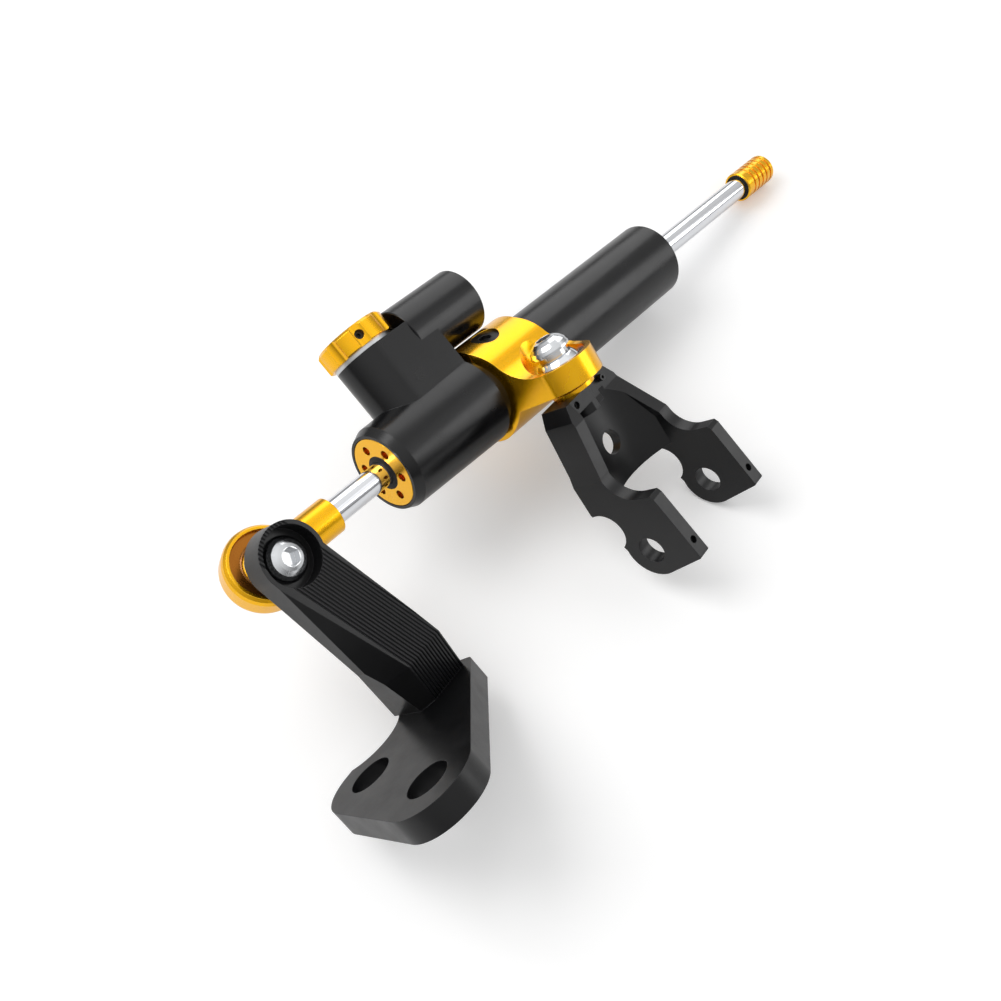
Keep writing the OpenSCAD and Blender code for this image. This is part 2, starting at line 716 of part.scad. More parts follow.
module piston() in_row_frame() color("#a9adb3") along_x(piston_x - piston_w / 2) difference() {
  ring(bore_r - piston_gap, rod_r + seat_gap, piston_w);
  translate([0, 0, (piston_w - ring_w) / 2 - run_gap])
    ring(bore_r + lap, bore_r - piston_gap - ring_h, ring_w + 2 * run_gap);
  for (i = [0:3]) rotate([0, 0, 90 * i]) translate([bleed_pitch_r, 0, -lap])
    cylinder(r = bleed_r, h = piston_w + 2 * lap, $fn = 24);
}
module piston_ring() in_row_frame() color("#2b5d3a") along_x(piston_x - ring_w / 2)
  ring(bore_r - run_gap, bore_r - piston_gap - ring_h + run_gap, ring_w);
module clip() difference() {
  ring(clip_r, rod_r - clip_h + seat_gap, clip_w);
  translate([0, -clip_split / 2, -lap]) cube([2 * clip_r, clip_split, clip_w + 2 * lap]);
}
module front_clip() in_row_frame() color("#8c9096") along_x(piston_x - piston_w / 2 - clip_w) clip();
module rear_clip() in_row_frame() color("#8c9096") along_x(piston_x + piston_w / 2) clip();
module end_cap() in_row_frame() color("#d9a520") along_x(cap_x) difference() {
  rotate_extrude() polygon([[0, 0], [cap_r - edge_c, 0], [cap_r, edge_c],
    [cap_r, cap_len - cap_c], [cap_r - cap_c, cap_len], [0, cap_len]]);
  translate([0, 0, -lap]) cylinder(r = rod_r + seat_gap, h = rod_rear - cap_x + lap);
  translate([0, 0, -lap]) cylinder(r = stop_r, h = stop_in + lap);
  for (i = [1:cap_grooves]) translate([0, 0, cap_len - cap_c / 2 - i * cap_pitch])
    ring(cap_r + lap, cap_r - cap_groove_h, cap_groove_w);
}
module bump_stop() in_row_frame() color("#101010") along_x(cap_x + stop_in - stop_len)
  ring(stop_r - seat_gap, rod_r + seat_gap, stop_len);

module adjuster_knob() in_row_frame() color("#d9a520") at_knob() difference() {
  union() {
    rotate_extrude() polygon([[0, knob_s], [knob_r - edge_c, knob_s], [knob_r, knob_s + edge_c],
      [knob_r, knob_s + knob_h - knob_c], [knob_r - knob_c, knob_s + knob_h],
      [0, knob_s + knob_h]]);
    translate([0, 0, knob_house_s - hub_h]) cylinder(r = hub_r, h = hub_h + knob_washer_w + lap);
  }
  for (i = [0:knob_scallops - 1]) rotate([0, 0, i * 360 / knob_scallops + knob_turn])
    translate([knob_r - scallop_h + scallop_r, 0, knob_s - lap])
      cylinder(r = scallop_r, h = knob_h + 2 * lap);
  translate([0, 0, knob_s + knob_h - knob_ring_h])
    ring(knob_ring_r, knob_ring_r - knob_ring_w, knob_ring_h + lap);
  translate([0, 0, knob_house_s - hub_h - lap])
    cylinder(r = stub_r + run_gap, h = stub_top - knob_house_s + hub_h + 2 * lap);
  at_knob_screw() cylinder(r = knob_screw_r, h = knob_r, $fn = 32);
}
// place of the set screw, pointing outward from the knob axis
module at_knob_screw() {
  rotate([0, 0, knob_turn + knob_screw_at * 360 / knob_scallops])
    translate([0, 0, knob_s + knob_h / 2]) rotate([0, 90, 0]) children();
}
module knob_screw() in_row_frame() color("#101113") at_knob() at_knob_screw()
  translate([0, 0, stub_r - stub_flat + run_gap]) difference() {
    cylinder(r = knob_screw_r - seat_gap, h = knob_screw_len, $fn = 32);
    translate([0, 0, knob_screw_len - knob_screw_r]) cylinder(r = knob_screw_r / 2, h = 2 * lap, $fn = 6);
  }
module knob_washer() in_row_frame() color("#c9ccd1") at_knob() translate([0, 0, knob_house_s])
  ring(knob_house_r, hub_r + rod_clear, knob_washer_w);
module valve_spindle() in_row_frame() color("#b08a3a") at_knob() difference() {
  rotate_extrude() polygon([[0, spindle_s], [spindle_r - edge_c, spindle_s],
    [spindle_r, spindle_s + edge_c], [spindle_r, knob_house_s - hub_h - spindle_free],
    [stub_r, knob_house_s - hub_h - spindle_free], [stub_r, stub_top], [0, stub_top]]);
  translate([0, 0, spindle_seal_s]) ring(spindle_r + lap, spindle_r - spindle_seal_h, spindle_seal_w);
  // oil way up from the cylinder and out to the port, which turning closes
  translate([0, 0, spindle_s - lap])
    cylinder(r = spindle_bore_r, h = port_s - spindle_s + port_r + lap, $fn = 32);
  translate([0, 0, port_s]) rotate([0, 90, 0]) cylinder(r = port_r, h = spindle_r + lap, $fn = 32);
  // key flat for the set screw
  at_knob_screw() translate([-knob_h, -stub_r, stub_r - stub_flat])
    cube([2 * knob_h, 2 * stub_r, stub_r]);
}
module spindle_seal() in_row_frame() color("#101010") at_knob() translate([0, 0, spindle_seal_s])
  ring(spindle_r + run_gap / 2, spindle_r - spindle_seal_h, spindle_seal_w);
module reservoir_plug() in_row_frame() color("#17181b") at_reservoir() along_x(plug_x) difference() {
  cylinder(r = res_bore_r + plug_step - seat_gap, h = plug_w);
  translate([0, 0, plug_w / 2]) cylinder(r = hex_r, h = plug_w, $fn = 6);
}
module floating_piston() in_row_frame() color("#a9adb3") at_reservoir() along_x(float_x) difference() {
  cylinder(r = res_bore_r - 2 * run_gap, h = float_len);
  translate([0, 0, float_len / 2]) cylinder(r = res_bore_r * 2 / 3, h = float_len);
  translate([0, 0, float_seal_w]) ring(res_bore_r + lap, res_bore_r - float_seal_w, float_seal_w);
}
module float_seal() in_row_frame() color("#101010") at_reservoir() 
  along_x(float_x + float_seal_w) ring(res_bore_r - run_gap, res_bore_r - float_seal_w, float_seal_w);

module rod_end() in_row_frame() color("#d9a520") difference() {
  union() {
    at_eye() rotate_extrude() polygon([[0, -eye_w / 2], [eye_r - eye_c, -eye_w / 2],
      [eye_r - eye_c / 3, 0.75 * eye_c - eye_w / 2], [eye_r, 1.8 * eye_c - eye_w / 2],
      [eye_r, eye_w / 2 - 1.8 * eye_c], [eye_r - eye_c / 3, eye_w / 2 - 0.75 * eye_c],
      [eye_r - eye_c, eye_w / 2], [0, eye_w / 2]]);
    along_x(ball_x + eye_r - lap) cylinder(r = sleeve_r, h = sleeve_x - ball_x - eye_r + lap);
  }
  at_eye() cylinder(r = race_r, h = eye_w + 2 * lap, center = true);
  along_x(rod_front) cylinder(r = rod_r - rod_step + seat_gap, h = sleeve_x - rod_front + lap);
}
module rod_end_race() in_row_frame() color("#b8742a") at_eye() race(race_r);
module rod_end_ball() in_row_frame() color("#c9ccd1") at_arm() ball(ball_w);
module arm_bolt() in_row_frame() color("#c9ccd1") at_arm() union() {
  translate([0, 0, recess_a]) button_head(head_r, head_h);
  translate([0, 0, -ball_w / 2 - nut_washer_w - nut_w - bolt_end])
    cylinder(r = bolt_r, h = recess_a + ball_w / 2 + nut_washer_w + nut_w + bolt_end + lap);
}
module arm_washer() in_row_frame() color("#3a3c40") at_arm() translate([0, 0, ball_w / 2])
  ring(washer_r, bolt_r + seat_gap, arm_back - ball_w / 2);
module nut_washer() in_row_frame() color("#c9ccd1") at_arm() translate([0, 0, -ball_w / 2 - nut_washer_w])
  ring(washer_r, bolt_r + seat_gap, nut_washer_w - seat_gap);
module arm_nut() in_row_frame() color("#c9ccd1") at_arm()
  translate([0, 0, -ball_w / 2 - nut_washer_w - nut_w]) difference() {
    intersection() {
      cylinder(r = nut_r, h = nut_w, $fn = 6);
      rotate_extrude() polygon([[0, 0], [nut_r - 3 * edge_c, 0], [nut_r, 2 * edge_c],
        [nut_r, nut_w], [0, nut_w]]);
    }
    translate([0, 0, -lap]) cylinder(r = bolt_r + seat_gap, h = nut_w + 2 * lap);
  }

// V grooves between the ribs, run along +X on the plane z = 0
module comb(pitch, mid, len) {
  half = rib_count * pitch / 2;
  grooves = [for (i = [0:rib_count - 1]) for (j = [-1:1])
    [mid - half + (i + 0.5 + j * 0.35) * pitch, j == 0 ? -rib_h : 0]];
  rotate([90, 0, 90]) linear_extrude(len)
    polygon(concat([[mid - half, 1]], grooves, [[mid + half, 1]]));
}
module arm_bracket() {
  top = arm_back + arm_t;
  rib_stretch = 1.02;
  bevel_len = arm_bend - 0.19 * arm_boss_r;
  bevel_h = 3 * arm_boss_r;
  bevel_b = 0.38 * arm_boss_r;
  fall = (plate_w0 - arm_bend) * tan(facet_slope);
  in_row_frame() color("#17181b") at_arm() union() {
    difference() {
      intersection() {
        // plan of the arm from the boss to the lug plate
        translate([0, 0, -2 * arm_foot]) linear_extrude(top + 4 * arm_foot) union() {
          circle(r = arm_boss_r);
          polygon([[0.94 * arm_boss_r, -0.32 * arm_boss_r], [arm_right1, -arm_bend],
            [arm_right2, -plate_w0], [arm_left2, -plate_w0], [arm_left1, -back_bend],
            [-0.99 * arm_boss_r, -0.1 * arm_boss_r]]);
        }
        // side profile with the sloping back and the second facet
        translate([-2 * arm_boss_r, 0, 0]) rotate([90, 0, 90])
          linear_extrude(arm_right2 + 3 * arm_boss_r) polygon([[2 * arm_boss_r, arm_back],
            [2 * arm_boss_r, top], [-arm_bend, top], [-plate_w0, top - fall],
            [-plate_w0, -arm_foot], [-back_bend, arm_back]]);
      }
      translate([0, 0, recess_a]) cylinder(r = recess_r, h = arm_t);
      cylinder(r = bolt_r + seat_gap, h = top + lap);
      // ribs on the two facets
      translate([0, 0, top]) rotate([0, 0, rib_slant - 90]) translate([-1.4 * arm_boss_r, 0, 0])
        comb(rib_pitch, rib_mid, plate_w0 + 1.4 * arm_boss_r);
      translate([0, -arm_bend, top]) rotate([facet_slope, 0, 0]) rotate([0, 0, rib_slant2 - 90])
        translate([-0.4 * arm_boss_r, 0, 0])
        comb(rib_pitch * rib_stretch, (arm_bend * sin(rib_slant) + rib_mid) * rib_stretch,
          plate_w0 / 2);
      // long chamfer on the left edge of both facets
      translate([-0.95 * arm_boss_r, -0.4 * arm_boss_r, top]) rotate([0, 0, -72])
        rotate([bevel_lean, 0, 0]) translate([0, -bevel_h, 0]) cube([bevel_len, bevel_h, bevel_h]);
      translate([bevel_b, -arm_bend, top]) rotate([0, 0, -79.5])
        rotate([0, facet_slope - 0.4, 0]) rotate([bevel_lean, 0, 0])
        translate([-lap, -bevel_h, 0]) cube([bevel_len, bevel_h, bevel_h]);
    }
    lug_plate();
  }
}
module lug_plate() {
  p1 = [lug1_b, lug1_a];
  p2 = [lug2_b, lug2_a];
  c1 = [plate_b1, plate_a1];
  c2 = [plate_b2, plate_a2];
  translate([0, -plate_w0, 0]) rotate([90, 0, 0]) linear_extrude(plate_t) difference() {
    union() {
      link(p1, lug_r, p2, lug_r);
      link(p2, lug_r, c1, plate_corner_r);
      link(p1, lug_r, c2, plate_corner_r);
      link(c1, plate_corner_r, c2, plate_corner_r);
      polygon([p1, p2, c1, c2]);
    }
    translate([bay_b, bay_a]) circle(r = bay_r);
    translate(p1) circle(r = lug_hole_d / 2);
    translate(p2) circle(r = lug_hole_d / 2);
  }
}

// plan of the clamp seen along its K axis
module clamp_plan() {
  corner = waist_r - weld;
  w0 = [clamp_x0 + waist_r, -waist_t];
  w1 = [clamp_x1 - waist_r, -waist_t];
  b = [boss_x, -boss_t];
  translate([clamp_x0, -waist_t]) square([clamp_w, waist_t + clamp_r + lap]);
  link(w0, corner, b, boss_r);
  link(w1, corner, b, boss_r);
  polygon([w0, b, w1]);
}
module clamp() {
  x0 = clamp_x0 - boss_r;
  len = clamp_w + 2 * boss_r;
  sweep_k = sweep_r - boss_top - 2 * weld;
  sweep_t = -sqrt(pow(clamp_r + sweep_r - 2 * weld, 2) - sweep_k * sweep_k);
  in_row_frame() color("#d9a520") at_clamp() difference() {
    intersection() {
      union() {
        along_x(x0) cylinder(r = clamp_r, h = len);
        translate([x0, -boss_t - 2 * boss_r, -boss_top - boss_h])
          cube([len, boss_t + 2 * boss_r, boss_h]);
        // hollow sweep from the ring down to the boss
        translate([x0, 0, 0]) rotate([90, 0, 90]) linear_extrude(len) difference() {
          polygon([[0, 0], [sweep_t, sweep_k], [sweep_t, -boss_top - lap], [0, -boss_top - lap]]);
          translate([sweep_t, sweep_k]) circle(r = sweep_r);
        }
      }
      translate([0, 0, -clamp_r - lap]) linear_extrude(2 * (clamp_r + lap)) clamp_plan();
    }
    along_x(x0) cylinder(r = tube_r + clamp_fit, h = len);
    translate([boss_x, -boss_t, boss_mid - race_w / 2]) cylinder(r = boss_seat_r, h = 2 * clamp_r);
    translate([boss_x, -boss_t, boss_mid - boss_h]) cylinder(r = boss_seat_r - boss_lip, h = boss_h);
    // counterbored hole of the lock screw
    translate([lock_x, 0, 0]) rotate([lock_lean, 0, 0]) translate([0, 0, tube_r - 2 * lap])
      cylinder(r = lock_r, h = clamp_r);
  }
}
module lock_screw() in_row_frame() color("#101113") at_clamp() translate([lock_x, 0, 0])
  rotate([lock_lean, 0, 0]) translate([0, 0, tube_r]) difference() {
    cylinder(r = lock_r - seat_gap, h = lock_h);
    translate([0, 0, lock_h - lock_hex_h]) cylinder(r = lock_hex_r, h = lock_h, $fn = 6);
  }
module clamp_race() in_row_frame() color("#c9ccd1") at_boss() race(boss_seat_r);
module clamp_ball() in_row_frame() color("#c9ccd1") at_clamp_bolt() ball(cball_w);
module bolt_collar() in_row_frame() color("#c9ccd1") at_clamp_bolt() translate([0, 0, cball_w / 2])
  ring(collar_r, bolt_r + seat_gap, collar_w);
module clamp_bolt() in_row_frame() color("#c9ccd1") at_clamp_bolt() union() {
  translate([0, 0, cball_w / 2 + collar_w]) button_head(head_r, head_h);
  translate([0, 0, -cball_w / 2 - spacer_w - bolt_in])
    cylinder(r = bolt_r, h = cball_w + spacer_w + collar_w + bolt_in + lap / 2);
}
module clamp_spacer() in_row_frame() color("#d9a520") at_clamp_bolt()
  translate([0, 0, -cball_w / 2 - spacer_w]) ring(spacer_r, bolt_r + seat_gap, spacer_w);

// side profile of an ear and its wall, front rim at depth rim at the top
module fork_side(rim) {
  tip = [-toe_g, -toe_k];
  difference() {
    union() {
      link([0, 0], ear_r, tip, toe_r);
      polygon([[0, 0], tip + toe_r * [-0.88, 0.38], [-step_g, step_k - step_c],
        [0.7 * step_c - step_g, step_k], [-notch_g, step_k], [-notch_g, notch_k],
        [notch_r - notch_g, notch_k], [rim, rim_k], [max(rim, strip_g - lap / 10), bridge_k],
        [back_top_g, bridge_k], [back_g, back_k1], [back_g, back_k0],
        [0.99 * ear_r, 0.1 * ear_r]]);
    }
    translate([-notch_g, notch_k]) circle(r = notch_r);
    translate([nip_g, nip_k]) circle(r = nip_r);
  }
}
module fork_bracket() {
  inner = half_w - ear_t;
  crown = half_w - wall_run;
  deep = 2 * back_top_g;
  low = ear_r + toe_k;
  in_row_frame() color("#17181b") at_fork() difference() {
    intersection() {
      union() {
        translate([-half_w, 0, 0]) rotate([90, 0, 90]) linear_extrude(half_w)
          fork_side(rim_near_g);
        rotate([90, 0, 90]) linear_extrude(half_w) fork_side(rim_far_g);
      }
      // front outline with the sloping walls
      translate([0, deep, 0]) rotate([90, 0, 0]) linear_extrude(2 * deep)
        polygon([[-half_w, -low], [-half_w, wall_bend], [-crown, shoulder_k],
          [-bridge_w, bridge_k], [bridge_w, bridge_k], [crown, shoulder_k],
          [half_w, wall_bend], [half_w, -low]]);
    }
    // gap between the ears below the web
    translate([-inner, -deep, -low - lap]) cube([2 * inner, 2 * deep, web_k + low + lap]);
    // hollow in front of the web
    intersection() {
      translate([0, deep, 0]) rotate([90, 0, 0]) linear_extrude(2 * deep)
        polygon([[-inner, web_k - lap], [-inner, wall_bend], [ear_t - crown, bridge_k - bridge_h],
          [crown - ear_t, bridge_k - bridge_h], [inner, wall_bend], [inner, web_k - lap]]);
      translate([0, hollow_g - hollow_r, 0]) difference() {
        cylinder(r = hollow_r, h = bridge_k);
        translate([0, bolt_g + hollow_r - hollow_g, bolt_boss_k])
          cylinder(r = bolt_boss_r, h = bridge_k);
      }
    }
    // recess in front of the bridge strip
    translate([ear_t - crown, -deep, strip_k])
      cube([2 * (crown - ear_t), deep + strip_g, bridge_k]);
    translate([-half_w - lap, 0, 0]) rotate([0, 90, 0])
      cylinder(d = ear_hole_d, h = fork_w + 2 * lap);
    translate([0, 0, web_hole_k]) rotate([-90, 0, 0]) cylinder(d = web_hole_d, h = deep);
    translate([0, bolt_g, bolt_boss_k]) cylinder(r = bolt_r + seat_gap, h = bridge_k);
    for (s = [-1, 1]) {
      translate([s * (half_w - ear_t / 2), -grub_ear_g - grub_ear_len, 0]) rotate([-90, 0, 0])
        cylinder(r = grub_r, h = grub_ear_g + grub_ear_len, $fn = 32);
      translate([s * grub_top_w, strip_g - lap, grub_top_s]) rotate([-90, 0, 0])
        cylinder(r = grub_r, h = grub_top_g - strip_g + lap + grub_top_len, $fn = 32);
    }
  }
}
// small set screw pointing along +Y with its socket at the front
module grub(len) {
  rotate([-90, 0, 0]) difference() {
    cylinder(r = grub_r - seat_gap, h = len, $fn = 32);
    translate([0, 0, -lap]) cylinder(r = grub_hex_r, h = grub_r + lap, $fn = 6);
  }
}
module ear_screw_near() in_row_frame() color("#101113") at_fork()
  translate([ear_t / 2 - half_w, -grub_ear_g, 0]) grub(grub_ear_len);
module ear_screw_far() in_row_frame() color("#101113") at_fork()
  translate([half_w - ear_t / 2, -grub_ear_g, 0]) grub(grub_ear_len);
module bridge_screw_near() in_row_frame() color("#101113") at_fork()
  translate([-grub_top_w, grub_top_g, grub_top_s]) grub(grub_top_len);
module bridge_screw_far() in_row_frame() color("#101113") at_fork()
  translate([grub_top_w, grub_top_g, grub_top_s]) grub(grub_top_len);

valve_head();
damper_tube();
front_gland();
front_gland_seal();
front_wiper();
front_bush();
rear_gland();
rear_gland_seal();
rear_wiper();
rear_bush();
snap_ring();
piston_rod();
piston();
piston_ring();
front_clip();
rear_clip();
end_cap();
bump_stop();
adjuster_knob();
knob_washer();
knob_screw();
valve_spindle();
spindle_seal();
reservoir_plug();
floating_piston();
float_seal();
rod_end();
rod_end_race();
rod_end_ball();
arm_bolt();
arm_washer();
arm_bracket();
nut_washer();
arm_nut();
clamp();
lock_screw();
clamp_race();
clamp_ball();
clamp_bolt();
bolt_collar();
clamp_spacer();
fork_bracket();
ear_screw_near();
ear_screw_far();
bridge_screw_near();
bridge_screw_far();
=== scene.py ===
# %% [markdown]
# A motorcycle steering damper lies on a pale studio table.
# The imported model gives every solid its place, so this lesson only dresses it.
# It names real finishes, softens the machined edges in shading, and sets up
# light and camera.

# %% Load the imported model
import json
import math

import bpy
from mathutils import Matrix, Quaternion, Vector


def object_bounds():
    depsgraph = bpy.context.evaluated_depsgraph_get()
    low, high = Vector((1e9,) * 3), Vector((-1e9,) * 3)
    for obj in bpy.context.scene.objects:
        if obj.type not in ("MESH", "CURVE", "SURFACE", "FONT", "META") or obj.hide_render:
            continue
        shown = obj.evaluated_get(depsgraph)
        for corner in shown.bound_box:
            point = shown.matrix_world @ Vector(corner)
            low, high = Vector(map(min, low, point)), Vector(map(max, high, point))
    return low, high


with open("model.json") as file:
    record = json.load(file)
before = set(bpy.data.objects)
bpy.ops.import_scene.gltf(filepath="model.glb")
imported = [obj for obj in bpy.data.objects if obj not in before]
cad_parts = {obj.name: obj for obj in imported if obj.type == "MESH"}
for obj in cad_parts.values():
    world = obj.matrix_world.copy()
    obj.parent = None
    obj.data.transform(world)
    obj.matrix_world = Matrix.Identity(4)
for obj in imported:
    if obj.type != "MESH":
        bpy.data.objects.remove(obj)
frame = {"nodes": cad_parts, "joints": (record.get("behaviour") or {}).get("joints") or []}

cad_low, cad_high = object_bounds()
print("nodes", len(frame["nodes"]), "box", [round(v, 4) for v in (*cad_low, *cad_high)])

# %% [markdown]
# The camera stands above and in front of the damper, as the photographer did.
# Its place and its three directions were solved from the straight edges and
# ellipses of the real parts, so the shapes fall where they should.
# A lens of 43 mm on a 36 mm sensor gives the same perspective.

# %% Camera
lens_mm = 43.19
sensor_mm = 36.0
nearest_m = 0.01
camera_at = Vector((-0.1905812, -0.1096982, 0.3167311))
looks_along = Vector((0.41005, 0.410503, -0.814461))
camera_up = Vector((0.668518, 0.472184, 0.574566))
side = looks_along.cross(camera_up).normalized()
camera_up = side.cross(looks_along).normalized()
camera_data = bpy.data.cameras.new("studio_camera")
camera_data.lens = lens_mm
camera_data.sensor_width = sensor_mm
camera_data.clip_start = nearest_m
camera = bpy.data.objects.new("studio_camera", camera_data)
bpy.context.scene.collection.objects.link(camera)
camera.matrix_world = Matrix((
    (side.x, camera_up.x, -looks_along.x, camera_at.x),
    (side.y, camera_up.y, -looks_along.y, camera_at.y),
    (side.z, camera_up.z, -looks_along.z, camera_at.z),
    (0.0, 0.0, 0.0, 1.0),
))
bpy.context.scene.camera = camera
bpy.context.scene.view_settings.view_transform = "Standard"
print("camera at", [round(v, 3) for v in camera_at])

# %% [markdown]
# Turned parts carry their marks round their own axis.
# The joints know these axes, so they are read from there and not typed again.
# The eye leans 19 degrees against its ball and the clamp's boss hardly at all,
# so their own axes are worked out from those two angles.

# %% Axes of the turned parts
eye_lean_deg = 19.31
clamp_lean_deg = 2.63


def joint_line(name):
    joint = next(j for j in frame["joints"] if j["name"] == name)
    return Vector(joint.get("pos_m", (0.0, 0.0, 0.0))), Vector(joint["axis"]).normalized()


rod_axis = joint_line("rod_spin")
knob_axis = joint_line("knob_turn")
arm_bolt_axis = joint_line("arm_swivel")
fork_bolt_axis = joint_line("fork_swivel")
eye_lean = Quaternion(joint_line("rod_end_tilt")[1], math.radians(eye_lean_deg))
eye_axis = (arm_bolt_axis[0], eye_lean @ arm_bolt_axis[1])
boss_lean = Quaternion(joint_line("clamp_tilt")[1], math.radians(clamp_lean_deg))
boss_axis = (fork_bolt_axis[0], boss_lean @ fork_bolt_axis[1])
print("rod runs along", [round(v, 3) for v in rod_axis[1]])

# %% [markdown]
# Colours are written as the eye reads them, in hex, and one function turns
# them to the linear values that light works in.
# A second small function adds a shader node with its values, links and settings,
# so that each finish below reads like a list of its layers.

# %% Colour and node helpers
mm = 0.001


def colour(code):
    parts = [int(code[i:i + 2], 16) / 255 for i in (1, 3, 5)]
    linear = [p / 12.92 if p <= 0.04045 else ((p + 0.055) / 1.055) ** 2.4 for p in parts]
    return (*linear, 1.0)


def add(tree, kind, values=None, links=None, **settings):
    node = tree.nodes.new(kind)
    for name, value in settings.items():
        setattr(node, name, value)
    for socket, value in (values or {}).items():
        node.inputs[socket].default_value = value
    for socket, source in (links or {}).items():
        tree.links.new(source, node.inputs[socket])
    return node


print("white is", [round(v, 2) for v in colour("#FFFFFF")])

# %% [markdown]
# A lathe tool leaves fine rings: round the side of a turned part they follow
# one another along the axis, and on its end faces they are circles.
# Noise of one dimension, fed once with the distance along the axis and once
# with the distance from it, gives both kinds with the same pitch.

# %% Lathe marks
def lathe_marks(tree, axis, pitch):
    at, along = axis
    place = add(tree, "ShaderNodeTexCoord").outputs["Object"]
    offset = add(tree, "ShaderNodeVectorMath", {1: at}, {0: place}, operation="SUBTRACT").outputs[0]
    run = add(tree, "ShaderNodeVectorMath", {1: along}, {0: offset}, operation="DOT_PRODUCT")
    spoke = add(tree, "ShaderNodeVectorMath", {1: along}, {0: offset}, operation="CROSS_PRODUCT")
    reach = add(tree, "ShaderNodeVectorMath", links={0: spoke.outputs[0]}, operation="LENGTH")
    rings = [
        add(tree, "ShaderNodeTexNoise", {"Scale": 1 / pitch, "Detail": 2.0, "Roughness": 0.6},
            {"W": source.outputs["Value"]}, noise_dimensions="1D").outputs[0]
        for source in (run, reach)
    ]
    return add(tree, "ShaderNodeMath", links={0: rings[0], 1: rings[1]}, operation="ADD").outputs[0]


print("lathe marks ready")

# %% [markdown]
# A milled or blasted surface has grain instead of rings.
# Blasting leaves pits about as wide as the grit, finer than a pixel here, so
# they are drawn at a third to half a millimetre. That is as coarse as they need
# to be to break up a highlight.

# %% Blast grain
def blast_grain(tree, grit):
    place = add(tree, "ShaderNodeTexCoord").outputs["Object"]
    pits = add(tree, "ShaderNodeTexNoise", {"Scale": 1 / grit, "Detail": 4.0, "Roughness": 0.65},
               {"Vector": place})
    return pits.outputs[0]


print("blast grain ready")

# %% [markdown]
# Sharp edges of a machined part are broken by a file or by tumbling.
# The Bevel node rounds the shading there and, set against the true normal, it
# also tells where an edge is, so the colour there is painted lighter: a painted
# edge highlight together with thinner, worn coating.
# Every finish is built the same way: a base colour with slow variation, gloss
# that follows the same variation, and a bump made of lathe marks or grain.

# %% One function lays the layers of a finish
cloud_size = 9 * mm
cloud_span = (0.3, 0.7)
# These two set where edges are painted lighter and how much: a painted edge highlight with edge wear.
edge_cosines = (0.995, 0.86)
most_edge_highlight_and_wear = 0.8
coat_roughness = 0.1
edge_radius = 0.25 * mm


def finish(name, shade, edge_highlight_and_wear, metallic, gloss, height, bump, coat=0.0, level=0.5):
    material = bpy.data.materials.new(name)
    material.use_nodes = True
    tree = material.node_tree
    shader = tree.nodes["Principled BSDF"]
    place = add(tree, "ShaderNodeTexCoord").outputs["Object"]
    clouds = add(tree, "ShaderNodeTexNoise", {"Scale": 1 / cloud_size, "Detail": 5.0, "Roughness": 0.6},
                 {"Vector": place}).outputs[0]
    rounded = add(tree, "ShaderNodeBevel", {"Radius": edge_radius}, samples=4).outputs[0]
    flat = add(tree, "ShaderNodeNewGeometry").outputs["True Normal"]
    same = add(tree, "ShaderNodeVectorMath", links={0: rounded, 1: flat}, operation="DOT_PRODUCT")
    # Edges are painted lighter: a painted edge highlight, together with edge wear.
    rim = add(tree, "ShaderNodeMapRange",
              {"From Min": edge_cosines[0], "From Max": edge_cosines[1], "To Max": most_edge_highlight_and_wear},
              {"Value": same.outputs["Value"]}).outputs[0]
    edge_highlight_and_wear_mask = add(tree, "ShaderNodeMath", links={0: rim, 1: clouds}, operation="MULTIPLY").outputs[0]
    body = add(tree, "ShaderNodeMix", {6: colour(shade[0]), 7: colour(shade[1])}, {0: clouds},
               data_type="RGBA").outputs[2]
    skin = add(tree, "ShaderNodeMix", {7: colour(edge_highlight_and_wear)}, {0: edge_highlight_and_wear_mask, 6: body},
               data_type="RGBA").outputs[2]
    rough = add(tree, "ShaderNodeMapRange",
                {"From Min": cloud_span[0], "From Max": cloud_span[1],
                 "To Min": gloss[0], "To Max": gloss[1]},
                {"Value": clouds}).outputs[0]
    relief = add(tree, "ShaderNodeBump", {"Strength": 1.0, "Distance": bump},
                 {"Height": height(tree), "Normal": rounded}).outputs[0]
    shader.inputs["Metallic"].default_value = metallic
    shader.inputs["Coat Weight"].default_value = coat
    shader.inputs["Coat Roughness"].default_value = coat_roughness
    if metallic < 0.5:
        shader.inputs["Specular IOR Level"].default_value = level
    for socket, source in (("Base Color", skin), ("Roughness", rough), ("Normal", relief)):
        tree.links.new(source, shader.inputs[socket])
    return material


dressed = {}


def dress(material, *nodes):
    for node in nodes:
        for place in frame["nodes"][node].material_slots:
            place.material = material
        dressed[node] = material
    print(material.name, "on", ", ".join(nodes))


# %% [markdown]
# Black anodising is a dyed oxide grown on aluminium: a thin hard glassy layer
# over a near black ground. The tube and the head were turned before it, so
# they keep fine rings under a smooth gloss with a soft grey highlight.

# %% Black anodised, turned
black_turned = finish("anodised_aluminium_black_turned", ("#060607", "#0B0B0D"), edge_highlight_and_wear="#34363A",
                      metallic=0.0, gloss=(0.2, 0.28), bump=0.006 * mm, level=0.4,
                      height=lambda t: lathe_marks(t, rod_axis, 0.55 * mm))
dress(black_turned, "valve_head", "damper_tube", "rear_gland", "reservoir_plug")

# %% [markdown]
# The two brackets were milled from plate and blasted before the same
# anodising. The pits scatter the light, so they look satin and a little greyer.

# %% Black anodised, milled and blasted
black_milled = finish("anodised_aluminium_black_blasted", ("#070708", "#0D0D0F"), edge_highlight_and_wear="#3E4044",
                      metallic=0.0, gloss=(0.3, 0.4), bump=0.012 * mm, level=0.4,
                      height=lambda t: blast_grain(t, 0.5 * mm))
dress(black_milled, "arm_bracket", "fork_bracket")

# %% [markdown]
# Gold anodising is a clear dyed layer, so the bare metal shines through it in
# a warm colour. Each part has its rings round its own axis, and so each gets
# its own copy of the finish with that axis.

